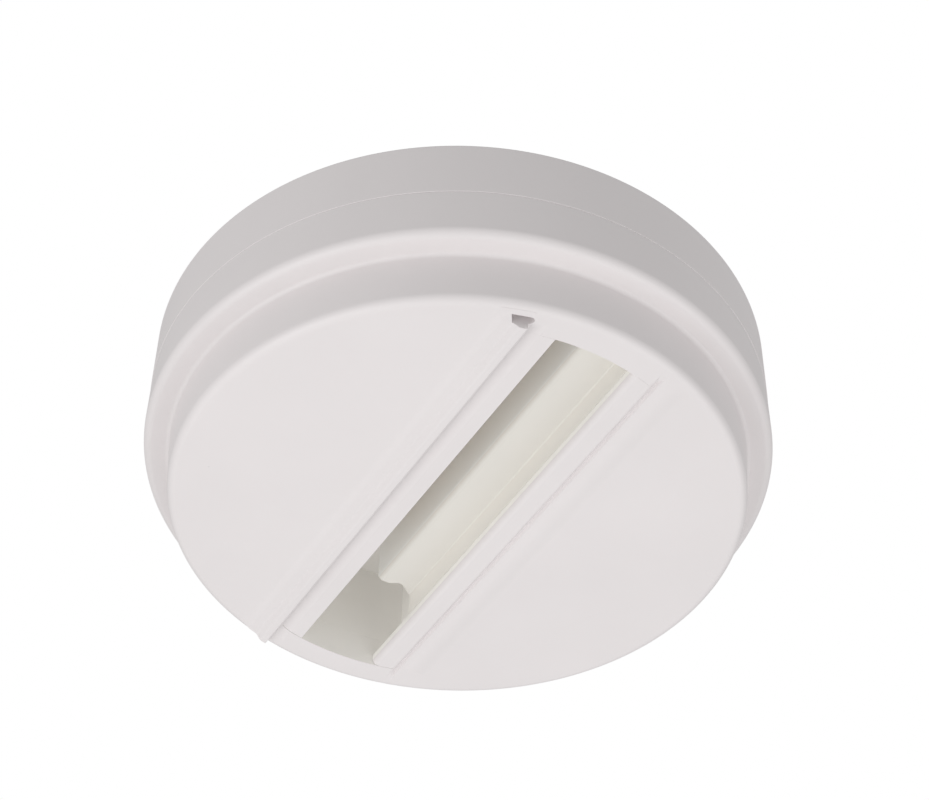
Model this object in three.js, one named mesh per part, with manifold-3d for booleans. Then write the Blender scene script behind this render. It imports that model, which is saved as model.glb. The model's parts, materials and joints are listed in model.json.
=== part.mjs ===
// Round two-tier ceiling point outlet for a lighting-track adapter.
// Millimetres, +Z up. The ceiling face is z = 0 with the origin at its centre, the body hangs
// below it, and the adapter slot runs along X in the bottom face.
import * as THREE from 'three';
import { mergeVertices } from 'three/addons/utils/BufferGeometryUtils.js';
import Module from 'manifold-3d';

const wasm = await Module();
wasm.setup();

// ---------------------------------------------------------------- driving dimensions
const BODY_RADIUS = 62.5;
const HEIGHT = 37;
const SEAM_DEPTH = 13.9;
const SHOULDER_DEPTH = 25.7;
const SHOULDER_FILLET = 1.8;
const STEP_RADIUS = 57.3;
const STEP_FILLET = 0.9;
const FACE_RADIUS = 56.7;
const FACE_FILLET = 1.8;
const SKIN = 2.2;
const PLATE = 2.5;
const GAP = 0.3;
const ROUND = 72;

// cover window, with the collar that stands round it inside
const WINDOW_HALF = 13.5;
const WINDOW_RADIUS = 50.3;
const COLLAR_RISE = 6.6;
const COLLAR_WALL = 1.5;

// key rib and low strip beside the window
const RIB = { inner: 14.65, top: 15.9, side: 17.5, step: 19.0, foot: 20.9 };
const RIB_HEIGHT = 1.5;
const RIB_STEP = 0.5;
const RIB_END_RADIUS = 55.4;
const RIB_NEAR_RADIUS = 52.5;
const RIB_STEP_NEAR_RADIUS = 53.2;
const KEY_POCKET = { farRadius: 54.1, inner: 13.9, outer: 17.5, outerFar: 18.4, depth: 2.4, wall: 1.4 };
const STRIP = { inner: 14, outer: 16.4, height: 0.2, farEnd: -46.9, nearRadius: 54.2 };

// channel
const SLOT_HALF = 8.35;
const LIP = 2.4;
const NECK_OUTER = WINDOW_HALF - GAP;
const CHANNEL_WALL = 1.6;
const CHANNEL_OUTER = 15.8;
const CHANNEL_STEP = 7;
const CHANNEL_TOP = 27;
const CHANNEL_END_RADIUS = 54;

// contact carriers, measured up from the bottom face
const CARRIER_FOOT = 2.7;
const CARRIER_LEDGE = 8;
const CARRIER_TOP = 25.1;
const CARRIER_LIP_HALF = 11.3;
const CARRIER_OUTER = 13.9;
const CARRIER_FLUSH = 8.5;
const GROOVE_EDGE = 0.4;
const CARRIER_FAR_END = -33;
const CARRIER_NEAR_END = 51.6;

// conductors
const BAR = { from: -31, to: 47, wide: 1.5, tall: 2, mouth: 1 };
const NARROW_LEVELS = { low: 11, high: 17.5 };
const WIDE_LEVELS = { low: 18.5, high: 22 };
const TAB = { width: 4, thick: 1, topDepth: 6.8, clearOfBar: 1.8 };
const POLE_PITCH = 8.4;
const POLES = [-2, -1, 0, 1, 2].map((i) => i * POLE_PITCH);

// fixings
const CHANNEL_SCREW_AT = { x: 30, y: 19.5 };
const CEILING_SLOT_AT = { x: 38, y: 32 };
const CEILING_SLOT = { half: 2.4, straight: 5 };
const TERMINAL_Y = 33.5;
const TERMINAL_SCREW_X = 24.6;
const CABLE_ENTRY = { x: -6, y: -36, hole: 11.3, recess: 13.6 };
const SADDLE_AT = { x: 20, y: -36, spread: 8 };

// ---------------------------------------------------------------- shape helpers
const up = (rise) => -HEIGHT + rise;

function solid(geometry) {
  const bare = geometry.clone();
  bare.deleteAttribute('normal');
  bare.deleteAttribute('uv');
  const merged = mergeVertices(bare, 1e-4);
  const make = (triVerts) => new wasm.Manifold(
    new wasm.Mesh({ numProp: 3, vertProperties: merged.attributes.position.array, triVerts }),
  );
  const order = Uint32Array.from(merged.index.array);
  const body = make(order);
  if (body.volume() > 0) return body;
  for (let i = 0; i < order.length; i += 3) {
    [order[i], order[i + 1]] = [order[i + 1], order[i]];
  }
  return make(order);
}

function join(...bodies) {
  return bodies.reduce((sum, body) => sum.add(body));
}

function box(x0, x1, y0, y1, z0, z1) {
  const shape = new THREE.BoxGeometry(x1 - x0, y1 - y0, z1 - z0);
  return solid(shape.translate((x0 + x1) / 2, (y0 + y1) / 2, (z0 + z1) / 2));
}

function cylinder(radius, z0, z1, x = 0, y = 0, sides = ROUND) {
  const shape = new THREE.CylinderGeometry(radius, radius, z1 - z0, sides);
  return solid(shape.rotateX(Math.PI / 2).translate(x, y, (z0 + z1) / 2));
}

function cylinderAlongY(radius, y0, y1, x, z, sides) {
  const shape = new THREE.CylinderGeometry(radius, radius, y1 - y0, sides);
  return solid(shape.translate(x, (y0 + y1) / 2, z));
}

function turned(points, sides = ROUND) {
  const outline = points.map(([radius, height]) => new THREE.Vector2(radius, height));
  return solid(new THREE.LatheGeometry(outline, sides).rotateX(Math.PI / 2));
}

function flat(outline, z0, z1) {
  const shape = new THREE.Shape(outline.map(([x, y]) => new THREE.Vector2(x, y)));
  return solid(new THREE.ExtrudeGeometry(shape, { depth: z1 - z0, bevelEnabled: false }).translate(0, 0, z0));
}

function alongX(outlineYZ, x0, x1) {
  const shape = new THREE.Shape(outlineYZ.map(([y, z]) => new THREE.Vector2(y, z)));
  const run = new THREE.ExtrudeGeometry(shape, { depth: x1 - x0, bevelEnabled: false });
  const turn = new THREE.Matrix4().makeBasis(
    new THREE.Vector3(0, 1, 0),
    new THREE.Vector3(0, 0, 1),
    new THREE.Vector3(1, 0, 0),
  );
  return solid(run.applyMatrix4(turn).translate(x0, 0, 0));
}

// points on an arc, from one angle to another in degrees
function arc(cx, cz, radius, from, to, steps) {
  return Array.from({ length: steps + 1 }, (_, i) => {
    const angle = THREE.MathUtils.degToRad(from + ((to - from) * i) / steps);
    return [cx + radius * Math.cos(angle), cz + radius * Math.sin(angle)];
  });
}

// a straight slot with round ends, turned so that it lies along a circle about the origin
function tangentSlot(at, half, straight, z0, z1) {
  const outline = [
    ...arc(straight / 2, 0, half, -90, 90, 6),
    ...arc(-straight / 2, 0, half, 90, 270, 6),
  ];
  const angle = Math.atan2(at.y, at.x) + Math.PI / 2;
  const turnedOutline = outline.map(([x, y]) => [
    at.x + x * Math.cos(angle) - y * Math.sin(angle),
    at.y + x * Math.sin(angle) + y * Math.cos(angle),
  ]);
  return flat(turnedOutline, z0, z1);
}

// one point in each quarter of the disc
function quarters(at) {
  return [[1, 1], [-1, 1], [-1, -1], [1, -1]].map(([sx, sy]) => ({ x: sx * at.x, y: sy * at.y }));
}

// ---------------------------------------------------------------- scene helpers
const group = new THREE.Group();

const LOOKS = {
  whitePlastic: { color: 0xe6e3e1, roughness: 0.5, metalness: 0 },
  creamPlastic: { color: 0xddd8cc, roughness: 0.55, metalness: 0 },
  greyPlastic: { color: 0xc9c9c4, roughness: 0.6, metalness: 0 },
  copper: { color: 0xc9875a, roughness: 0.35, metalness: 1 },
  brass: { color: 0xc9a85c, roughness: 0.35, metalness: 1 },
  zincSteel: { color: 0xb4b8ba, roughness: 0.4, metalness: 1 },
  rubber: { color: 0x3a3a3a, roughness: 0.8, metalness: 0 },
  brownWire: { color: 0x6e4428, roughness: 0.5, metalness: 0 },
  blackWire: { color: 0x262626, roughness: 0.5, metalness: 0 },
  greyWire: { color: 0x8d8f91, roughness: 0.5, metalness: 0 },
  blueWire: { color: 0x2f6bb0, roughness: 0.5, metalness: 0 },
  greenWire: { color: 0x6f9a35, roughness: 0.5, metalness: 0 },
};

function place(name, body, look) {
  const raw = body.getMesh();
  const geometry = new THREE.BufferGeometry();
  geometry.setAttribute('position', new THREE.BufferAttribute(raw.vertProperties, 3));
  geometry.setIndex(new THREE.BufferAttribute(raw.triVerts, 1));
  geometry.computeVertexNormals();
  const mesh = new THREE.Mesh(geometry, new THREE.MeshStandardMaterial(LOOKS[look]));
  mesh.name = name;
  group.add(mesh);
}

// ---------------------------------------------------------------- cover
function coverShell() {
  const rim = -SEAM_DEPTH - GAP / 2;
  const spigotTop = -8.5;
  const spigotOuter = 60;
  const spigotInner = 58.4;
  const wallInner = BODY_RADIUS - SKIN;
  const shoulder = -SHOULDER_DEPTH;
  const shoulderInside = shoulder + SKIN;
  const tierInner = STEP_RADIUS - SKIN;
  return turned([
    [0, -HEIGHT],
    ...arc(FACE_RADIUS - FACE_FILLET, -HEIGHT + FACE_FILLET, FACE_FILLET, -90, 0, 3),
    ...arc(STEP_RADIUS + STEP_FILLET, shoulder - STEP_FILLET, STEP_FILLET, 180, 90, 3),
    ...arc(BODY_RADIUS - SHOULDER_FILLET, shoulder + SHOULDER_FILLET, SHOULDER_FILLET, -90, 0, 4),
    [BODY_RADIUS, rim],
    [spigotOuter, rim],
    [spigotOuter, spigotTop],
    [spigotInner, spigotTop],
    [spigotInner, rim - 2.4],
    [wallInner, rim - 4.2],
    [wallInner, shoulderInside],
    [tierInner, shoulderInside],
    [tierInner - 0.5, up(SKIN + 0.8)],
    [tierInner - 1.3, up(SKIN)],
    [0, up(SKIN)],
  ]);
}

function snapTongueCuts() {
  const width = 13;
  const bars = [0, 45, 90, 135].map((angle) => {
    const bar = new THREE.BoxGeometry(2.2 * BODY_RADIUS, width, 8);
    return solid(bar.rotateZ(THREE.MathUtils.degToRad(angle + 22.5)).translate(0, 0, -SEAM_DEPTH + 4.1));
  });
  return join(...bars).subtract(cylinder(BODY_RADIUS * 0.64, -SEAM_DEPTH - 1, 0));
}

function windowPrism(half, radius, z0, z1) {
  const cut = box(-radius, radius, -half, half, z0, z1);
  return cut.intersect(cylinder(radius, z0 - 1, z1 + 1));
}

// The rib has a high part beside the window and a low step outside it, with sloping outer sides.
// At the near end the high part stops at the pocket and the step a little further out.
function keyRib() {
  const root = -HEIGHT + 0.8;
  const low = -HEIGHT - RIB_HEIGHT;
  const step = -HEIGHT - RIB_STEP;
  const reach = cylinder(RIB_END_RADIUS, -HEIGHT - 3, -HEIGHT + 2);
  const nearCut = box(0, BODY_RADIUS, -BODY_RADIUS, 0, low - 1, step)
    .subtract(cylinder(RIB_NEAR_RADIUS, low - 2, -HEIGHT + 2));
  const stepCut = box(0, BODY_RADIUS, -BODY_RADIUS, 0, low - 1, -HEIGHT)
    .subtract(cylinder(RIB_STEP_NEAR_RADIUS, low - 2, -HEIGHT + 2));
  const high = alongX([
    [-RIB.inner, root],
    [-RIB.inner, low],
    [-RIB.top, low],
    [-RIB.side, step],
    [-RIB.side, root],
  ], -BODY_RADIUS, BODY_RADIUS);
  const foot = alongX([
    [-RIB.top, root],
    [-RIB.top, step],
    [-RIB.step, step],
    [-RIB.foot, -HEIGHT],
    [-RIB.foot, root],
  ], -BODY_RADIUS, BODY_RADIUS);
  return join(high, foot).intersect(reach).subtract(join(nearCut, stepCut));
}

function lowStrip() {
  const run = box(STRIP.farEnd, BODY_RADIUS, STRIP.inner, STRIP.outer, -HEIGHT - STRIP.height, -HEIGHT + 0.8);
  return run.intersect(cylinder(STRIP.nearRadius, -HEIGHT - 2, -HEIGHT + 2));
}

// a short piece of a ring on the rib's side, grown by a margin
function keyPocket(margin, z0, z1) {
  const pocket = KEY_POCKET;
  const near = RIB_NEAR_RADIUS - margin;
  const far = pocket.farRadius + margin / 2;
  const turn = (y, radius) => -THREE.MathUtils.radToDeg(Math.asin(y / radius));
  const outline = [
    ...arc(0, 0, near, turn(pocket.outer + margin, near), turn(pocket.inner - margin, near), 4),
    ...arc(0, 0, far, turn(pocket.inner - margin, far), turn(pocket.outerFar + margin, far), 4),
  ];
  return flat(outline, z0, z1);
}

function cover() {
  const pocket = KEY_POCKET;
  const collar = windowPrism(WINDOW_HALF + COLLAR_WALL, WINDOW_RADIUS + COLLAR_WALL, -HEIGHT + 0.6, up(COLLAR_RISE));
  const pocketBoss = keyPocket(pocket.wall, -HEIGHT + 0.6, up(pocket.depth + pocket.wall));
  const pocketCut = keyPocket(0, -HEIGHT - 3, up(pocket.depth));
  return join(coverShell(), collar, keyRib(), lowStrip(), pocketBoss)
    .subtract(windowPrism(WINDOW_HALF, WINDOW_RADIUS, -HEIGHT - 4, up(COLLAR_RISE + 1)))
    .subtract(pocketCut)
    .subtract(snapTongueCuts());
}

// ---------------------------------------------------------------- base
const POST = { radius: 3.4, hole: 1.35, floor: 0.8 };
const CHANNEL_POST_FOOT = -7.9;
const TERMINAL_POST_FOOT = -5.5;
const SADDLE_POST_FOOT = -9;

function postPlan() {
  return [
    ...quarters(CHANNEL_SCREW_AT).map((at) => ({ ...at, foot: CHANNEL_POST_FOOT })),
    ...[-1, 1].map((side) => ({ x: side * TERMINAL_SCREW_X, y: TERMINAL_Y, foot: TERMINAL_POST_FOOT })),
    ...[-1, 1].map((side) => ({
      x: SADDLE_AT.x, y: SADDLE_AT.y + side * SADDLE_AT.spread, foot: SADDLE_POST_FOOT,
    })),
  ];
}

function base() {
  const wallInner = BODY_RADIUS - SKIN;
  const dish = turned([
    [0, -PLATE],
    [wallInner, -PLATE],
    [wallInner, -SEAM_DEPTH + GAP / 2],
    [BODY_RADIUS, -SEAM_DEPTH + GAP / 2],
    [BODY_RADIUS, -0.5],
    [BODY_RADIUS - 0.5, 0],
    [0, 0],
  ]);
  const posts = postPlan().map((p) => cylinder(POST.radius, p.foot, -PLATE + 0.2, p.x, p.y, 20));
  const holes = postPlan().map((p) => cylinder(POST.hole, p.foot - 1, -POST.floor, p.x, p.y, 12));
  const slots = quarters(CEILING_SLOT_AT).map((at) => (
    tangentSlot(at, CEILING_SLOT.half, CEILING_SLOT.straight, -PLATE - 1, 1)
  ));
  const entry = cylinder(CABLE_ENTRY.hole, -PLATE - 1, 1, CABLE_ENTRY.x, CABLE_ENTRY.y, 40);
  const recess = cylinder(CABLE_ENTRY.recess, -1.1, 1, CABLE_ENTRY.x, CABLE_ENTRY.y, 40);
  return join(dish, ...posts).subtract(join(...holes, ...slots, entry, recess));
}

// ---------------------------------------------------------------- channel with its two lips
function channelBody() {
  const floorTop = CHANNEL_STEP + CHANNEL_WALL;
  const roof = CHANNEL_TOP - CHANNEL_WALL;
  const innerRadius = CHANNEL_END_RADIUS - CHANNEL_WALL;
  const neck = windowPrism(NECK_OUTER, WINDOW_RADIUS - GAP, up(0), up(CHANNEL_STEP + 0.5));
  const trunk = windowPrism(CHANNEL_OUTER, CHANNEL_END_RADIUS, up(CHANNEL_STEP), up(CHANNEL_TOP));
  const ears = quarters(CHANNEL_SCREW_AT).map((at) => join(
    cylinder(4, up(CHANNEL_TOP - 2), up(CHANNEL_TOP), at.x, at.y, 20),
    box(at.x - 4, at.x + 4, Math.min(at.y, 0), Math.max(at.y, 0), up(CHANNEL_TOP - 2), up(CHANNEL_TOP)),
  ));
  const earHoles = quarters(CHANNEL_SCREW_AT).map((at) => (
    cylinder(1.8, up(CHANNEL_TOP - 3), up(CHANNEL_TOP + 1), at.x, at.y, 12)
  ));
  const slot = box(-BODY_RADIUS, BODY_RADIUS, -SLOT_HALF, SLOT_HALF, up(-1), up(LIP + 1));
  const throat = windowPrism(NECK_OUTER - CHANNEL_WALL, innerRadius, up(LIP), up(floorTop + 1));
  const cavity = windowPrism(CHANNEL_OUTER - CHANNEL_WALL, innerRadius, up(floorTop), up(roof));
  const farStop = box(-BODY_RADIUS, 0, -CHANNEL_OUTER, CHANNEL_OUTER, up(0), up(CHANNEL_TOP))
    .subtract(cylinder(WINDOW_RADIUS, up(-1), up(CHANNEL_TOP + 1)));
  const room = join(throat, cavity).subtract(farStop);
  return join(neck, trunk, ...ears).subtract(join(slot, room, ...earHoles));
}

// ---------------------------------------------------------------- conductors and carriers
// Each live bar lies in a groove of its carrier, and a tab rises from it through the channel's roof.
// Positive side means the wide carrier, negative the narrow one.
const BARS = [
  { name: 'l1', side: -1, level: NARROW_LEVELS.low, isLower: true, pole: POLES[0] },
  { name: 'l2', side: 1, level: WIDE_LEVELS.low, isLower: true, pole: POLES[1] },
  { name: 'l3', side: 1, level: WIDE_LEVELS.high, isLower: false, pole: POLES[3] },
  { name: 'neutral', side: -1, level: NARROW_LEVELS.high, isLower: false, pole: POLES[4] },
];

function barFace(side) {
  return side > 0 ? GROOVE_EDGE + 0.5 : -(CARRIER_FLUSH + 0.6);
}

// the tab stands behind the bar where the other bar of the pair would be in its way
function tabMiddle(bar) {
  const back = barFace(bar.side) + bar.side * BAR.wide;
  return bar.isLower ? back + bar.side * TAB.clearOfBar : back - (bar.side * BAR.wide) / 2;
}

function conductor(bar, margin) {
  const front = barFace(bar.side);
  const back = front + bar.side * BAR.wide;
  const tab = tabMiddle(bar);
  const y0 = Math.min(front, back) - margin;
  const y1 = Math.max(front, back) + margin;
  const reach = tab + bar.side * (TAB.thick / 2 + margin);
  const x0 = bar.pole - TAB.width / 2 - margin;
  const x1 = bar.pole + TAB.width / 2 + margin;
  const foot = up(bar.level) - margin;
  return join(
    box(BAR.from - margin, BAR.to + margin, y0, y1, foot, up(bar.level + BAR.tall) + margin),
    box(x0, x1, Math.min(front, reach), Math.max(front, reach), foot, up(bar.level + 1) + margin),
    box(x0, x1, tab - TAB.thick / 2 - margin, tab + TAB.thick / 2 + margin, foot, -TAB.topDepth + margin),
  );
}

function carrier(side) {
  const groove = side > 0 ? GROOVE_EDGE : -CARRIER_FLUSH - 0.1;
  const flush = side * CARRIER_FLUSH;
  const section = [
    [flush, up(CARRIER_FOOT)],
    [side * CARRIER_LIP_HALF, up(CARRIER_FOOT)],
    [side * CARRIER_LIP_HALF, up(CHANNEL_STEP + CHANNEL_WALL + GAP)],
    [side * CARRIER_OUTER, up(CHANNEL_STEP + CHANNEL_WALL + GAP)],
    [side * CARRIER_OUTER, up(CARRIER_TOP)],
    [groove, up(CARRIER_TOP)],
    [groove, up(CARRIER_LEDGE)],
    [flush, up(CARRIER_LEDGE)],
  ];
  const lower = cylinder(WINDOW_RADIUS - 2 * GAP, up(0), up(CHANNEL_STEP + GAP));
  const upper = cylinder(CARRIER_NEAR_END + 0.5, up(CHANNEL_STEP + GAP), up(CHANNEL_TOP));
  const openings = BARS.filter((bar) => bar.side === side).map((bar) => {
    const mouth = barFace(side) - side * 2;
    const back = barFace(side);
    return join(
      conductor(bar, GAP),
      box(
        BAR.from - GAP, BAR.to + GAP, Math.min(mouth, back), Math.max(mouth, back),
        up(bar.level + (BAR.tall - BAR.mouth) / 2), up(bar.level + (BAR.tall + BAR.mouth) / 2),
      ),
    );
  });
  return alongX(section, CARRIER_FAR_END, CARRIER_NEAR_END)
    .intersect(join(lower, upper))
    .subtract(join(...openings));
}

const EARTH = { y: -4.2, half: 2.6, from: -30, to: 46, thick: 0.8, rise: 24.2 };

function earthStrip(margin) {
  const tabHalf = TAB.width / 2 + margin;
  return join(
    box(
      EARTH.from - margin, EARTH.to + margin, EARTH.y - EARTH.half - margin, EARTH.y + EARTH.half + margin,
      up(EARTH.rise) - margin, up(EARTH.rise + EARTH.thick) + margin,
    ),
    box(
      POLES[2] - tabHalf, POLES[2] + tabHalf, EARTH.y - TAB.thick / 2 - margin, EARTH.y + TAB.thick / 2 + margin,
      up(EARTH.rise) - margin, -TAB.topDepth + margin,
    ),
  );
}

function tabsThroughRoof() {
  return join(...BARS.map((bar) => conductor(bar, GAP)), earthStrip(GAP))
    .intersect(box(-BODY_RADIUS, BODY_RADIUS, -20, 20, up(CHANNEL_TOP - CHANNEL_WALL - 0.2), 0));
}

// ---------------------------------------------------------------- load bracket
const BRACKET = { thick: 1.5, low: -9.7, high: -4.3, barHalf: 4.5, armHalf: 4, riser: 7.2, reach: 20 };

function bracketArm(at, pad) {
  const angle = Math.atan2(pad.y - at.y, pad.x - at.x);
  const b = BRACKET;
  const arm = join(
    box(0, b.riser + b.thick, -b.armHalf, b.armHalf, b.low, b.low + b.thick),
    box(b.riser, b.riser + b.thick, -b.armHalf, b.armHalf, b.low, b.high + b.thick),
    box(b.riser, b.reach, -b.armHalf, b.armHalf, b.high, b.high + b.thick),
  );
  return arm.rotate([0, 0, THREE.MathUtils.radToDeg(angle)]).translate([at.x, at.y, 0]);
}

function loadBracket() {
  const b = BRACKET;
  const top = b.low + b.thick;
  const screws = quarters(CHANNEL_SCREW_AT);
  const pads = quarters(CEILING_SLOT_AT);
  const crossBars = [-1, 1].map((side) => box(
    side * CHANNEL_SCREW_AT.x - b.barHalf, side * CHANNEL_SCREW_AT.x + b.barHalf,
    -CHANNEL_SCREW_AT.y, CHANNEL_SCREW_AT.y, b.low, top,
  ));
  const spine = box(-CHANNEL_SCREW_AT.x, CHANNEL_SCREW_AT.x, -7.6, -1, b.low, top);
  const ends = screws.map((at) => cylinder(b.barHalf, b.low, top, at.x, at.y, 20));
  const arms = screws.map((at, i) => bracketArm(at, pads[i]));
  const screwHoles = screws.map((at) => cylinder(1.8, b.low - 1, top + 1, at.x, at.y, 12));
  const slots = pads.map((at) => (
    tangentSlot(at, CEILING_SLOT.half, CEILING_SLOT.straight - 2, b.high - 1, b.high + 3)
  ));
  return join(...crossBars, spine, ...ends, ...arms)
    .subtract(join(...screwHoles, ...slots, earthStrip(GAP)));
}

// ---------------------------------------------------------------- terminals
const HOUSING = { half: 27.2, depth: 9, foot: -19.3, top: -5.8, chamber: 3.4, chamberDepth: 6.8 };
const WIRE_LEVEL = -11.6;
const CLAMP = { half: 3.1, depth: 6.5, foot: -15.6, top: -8.2 };

function terminalHousing() {
  const h = HOUSING;
  const block = box(-h.half, h.half, TERMINAL_Y - h.depth, TERMINAL_Y + h.depth, h.foot, h.top);
  const cuts = POLES.flatMap((x) => [
    box(
      x - h.chamber, x + h.chamber, TERMINAL_Y - h.chamberDepth, TERMINAL_Y + h.chamberDepth,
      CLAMP.foot - GAP, CLAMP.top + GAP,
    ),
    cylinderAlongY(2.2, TERMINAL_Y - h.depth - 1, TERMINAL_Y + h.depth + 1, x, WIRE_LEVEL, 12),
    cylinder(3, h.foot - 1, CLAMP.foot, x, TERMINAL_Y, 16),
  ]);
  const ends = [-1, 1].flatMap((side) => {
    const x = side * TERMINAL_SCREW_X;
    return [
      cylinder(1.8, h.foot - 1, h.top + 1, x, TERMINAL_Y, 12),
      box(
        Math.min(x - side * 2.6, side * 30), Math.max(x - side * 2.6, side * 30),
        TERMINAL_Y - h.depth - 1, TERMINAL_Y + h.depth + 1, h.foot - 1, h.foot + 7,
      ),
    ];
  });
  return block.subtract(join(...cuts, ...ends));
}

function terminalClamp(x) {
  const body = box(
    x - CLAMP.half, x + CLAMP.half, TERMINAL_Y - CLAMP.depth, TERMINAL_Y + CLAMP.depth, CLAMP.foot, CLAMP.top,
  );
  return body.subtract(join(
    cylinderAlongY(1.9, TERMINAL_Y - 8, TERMINAL_Y + 8, x, WIRE_LEVEL, 12),
    cylinder(1.75, CLAMP.foot - 1, WIRE_LEVEL, x, TERMINAL_Y, 12),
  ));
}

// ---------------------------------------------------------------- screws
// A slotted pan-head screw whose head points down. The tip is the upper end.
function screw(x, y, headBottom, headHeight, headRadius, shankRadius, tip) {
  const headTop = headBottom + headHeight;
  const profile = [
    [0, headBottom],
    [headRadius * 0.7, headBottom],
    [headRadius, headBottom + headHeight * 0.45],
    [headRadius, headTop],
    [shankRadius, headTop],
    [shankRadius, tip - shankRadius * 0.7],
    [shankRadius * 0.4, tip],
    [0, tip],
  ];
  const driver = box(-headRadius - 1, headRadius + 1, -0.4, 0.4, headBottom - 1, headBottom + headHeight * 0.55);
  return turned(profile, 16).subtract(driver).translate([x, y, 0]);
}

// ---------------------------------------------------------------- wires
const WIRE_RADIUS = 1.3;

function wire(x, tabY) {
  const stops = [
    [tabY - 1.6, -5.2], [tabY + 3, -5.2], [11.5, -5.4], [15.5, -6.7], [19, -9.2], [22.5, -11.2], [27.4, WIRE_LEVEL],
  ];
  const path = new THREE.CatmullRomCurve3(stops.map(([y, z]) => new THREE.Vector3(x, y, z)), false, 'centripetal');
  const ring = new THREE.Shape(arc(0, 0, WIRE_RADIUS, 0, 315, 7).map(([a, b]) => new THREE.Vector2(a, b)));
  return solid(new THREE.ExtrudeGeometry(ring, { steps: 18, extrudePath: path, bevelEnabled: false }));
}

// ---------------------------------------------------------------- cable entry
function cableGrommet() {
  const { x, y, hole } = CABLE_ENTRY;
  return turned([
    [5, -0.2], [hole + 1.9, -0.2], [hole + 1.9, -0.8], [hole - GAP, -0.8], [hole - GAP, -PLATE - GAP],
    [hole + 1.7, -PLATE - GAP], [hole + 1.2, -4.4], [8, -5], [6.6, -9], [5, -9], [5, -0.2],
  ], 32).translate([x, y, 0]);
}

function cableSaddle() {
  const { x, y, spread } = SADDLE_AT;
  const seat = SADDLE_POST_FOOT - GAP;
  const bar = box(x - 4, x + 4, y - spread - 4, y + spread + 4, seat - 2.6, seat);
  const ridge = box(x - 1, x + 1, y - 4, y + 4, seat - 1, seat + 1.2);
  const holes = [-1, 1].map((side) => cylinder(1.8, seat - 4, seat + 1, x, y + side * spread, 12));
  return join(bar, ridge).subtract(join(...holes));
}

// ---------------------------------------------------------------- the assembly
place('cover', cover(), 'whitePlastic');
place('base', base(), 'whitePlastic');
place('channel_body', channelBody().subtract(tabsThroughRoof()), 'whitePlastic');
place('wide_contact_carrier', carrier(1), 'creamPlastic');
place('narrow_contact_carrier', carrier(-1), 'creamPlastic');
BARS.forEach((bar) => place(`conductor_${bar.name}`, conductor(bar, 0), 'copper'));
place('earth_strip', earthStrip(0), 'brass');
place('load_bracket', loadBracket(), 'zincSteel');
place('terminal_housing', terminalHousing(), 'creamPlastic');

const POLE_NAMES = ['l1', 'l2', 'earth', 'l3', 'neutral'];
const WIRE_LOOKS = ['brownWire', 'blackWire', 'greenWire', 'greyWire', 'blueWire'];
POLES.forEach((x, i) => {
  const bar = BARS.find((b) => b.name === POLE_NAMES[i]);
  place(`terminal_clamp_${POLE_NAMES[i]}`, terminalClamp(x), 'brass');
  place(`terminal_screw_${POLE_NAMES[i]}`, screw(x, TERMINAL_Y, -18.8, 1.8, 2.6, 1.4, -13.3), 'zincSteel');
  place(`wire_${POLE_NAMES[i]}`, wire(x, bar ? tabMiddle(bar) : EARTH.y), WIRE_LOOKS[i]);
});

quarters(CHANNEL_SCREW_AT).forEach((at, i) => {
  const headBottom = up(CHANNEL_TOP - 2) - GAP - 2;
  place(`channel_screw_${i + 1}`, screw(at.x, at.y, headBottom, 2, 3, 1.05, -3), 'zincSteel');
});
[-1, 1].forEach((side, i) => {
  const headBottom = HOUSING.foot + 7 - GAP - 1.9;
  const x = side * TERMINAL_SCREW_X;
  place(`terminal_fixing_screw_${i + 1}`, screw(x, TERMINAL_Y, headBottom, 1.9, 2.3, 1.05, -1.6), 'zincSteel');
});
place('cable_grommet', cableGrommet(), 'rubber');
place('cable_saddle', cableSaddle(), 'greyPlastic');
[-1, 1].forEach((side, i) => {
  const headBottom = SADDLE_POST_FOOT - 2 * GAP - 2.6 - 2;
  const y = SADDLE_AT.y + side * SADDLE_AT.spread;
  place(`saddle_screw_${i + 1}`, screw(SADDLE_AT.x, y, headBottom, 2, 3, 1.05, -3), 'zincSteel');
});

export default group;
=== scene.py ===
"""Looks of a round two-tier ceiling point outlet with a slot for a lighting-track adapter.

The ceiling face is z = 0 and the body hangs below it. The slot runs along X, the key rib is on the
-Y side. Objects are in metres; the shape functions below take millimetres.
"""
import json
import math

import bmesh
import bpy
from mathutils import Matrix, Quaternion, Vector

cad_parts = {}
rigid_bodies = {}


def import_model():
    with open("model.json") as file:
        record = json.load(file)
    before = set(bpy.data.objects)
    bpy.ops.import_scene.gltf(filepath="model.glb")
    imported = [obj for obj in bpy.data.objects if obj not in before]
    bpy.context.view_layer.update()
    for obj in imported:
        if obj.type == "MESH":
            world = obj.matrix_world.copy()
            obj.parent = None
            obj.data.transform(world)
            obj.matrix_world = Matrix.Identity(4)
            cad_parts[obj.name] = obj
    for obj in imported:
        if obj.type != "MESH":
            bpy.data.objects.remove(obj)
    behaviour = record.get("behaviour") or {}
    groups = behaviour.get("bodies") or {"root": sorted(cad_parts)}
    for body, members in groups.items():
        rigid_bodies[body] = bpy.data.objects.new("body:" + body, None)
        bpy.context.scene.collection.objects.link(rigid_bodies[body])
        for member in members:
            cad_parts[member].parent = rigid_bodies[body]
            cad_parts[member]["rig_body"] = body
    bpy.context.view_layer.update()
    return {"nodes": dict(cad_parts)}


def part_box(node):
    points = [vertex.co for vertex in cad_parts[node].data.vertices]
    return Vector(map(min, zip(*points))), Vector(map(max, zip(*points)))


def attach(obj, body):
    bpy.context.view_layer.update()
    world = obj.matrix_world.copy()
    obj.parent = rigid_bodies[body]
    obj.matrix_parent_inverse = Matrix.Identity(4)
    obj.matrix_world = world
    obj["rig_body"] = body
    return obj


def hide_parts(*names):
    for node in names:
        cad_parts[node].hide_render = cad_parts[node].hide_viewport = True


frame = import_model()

MM = 0.001


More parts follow.
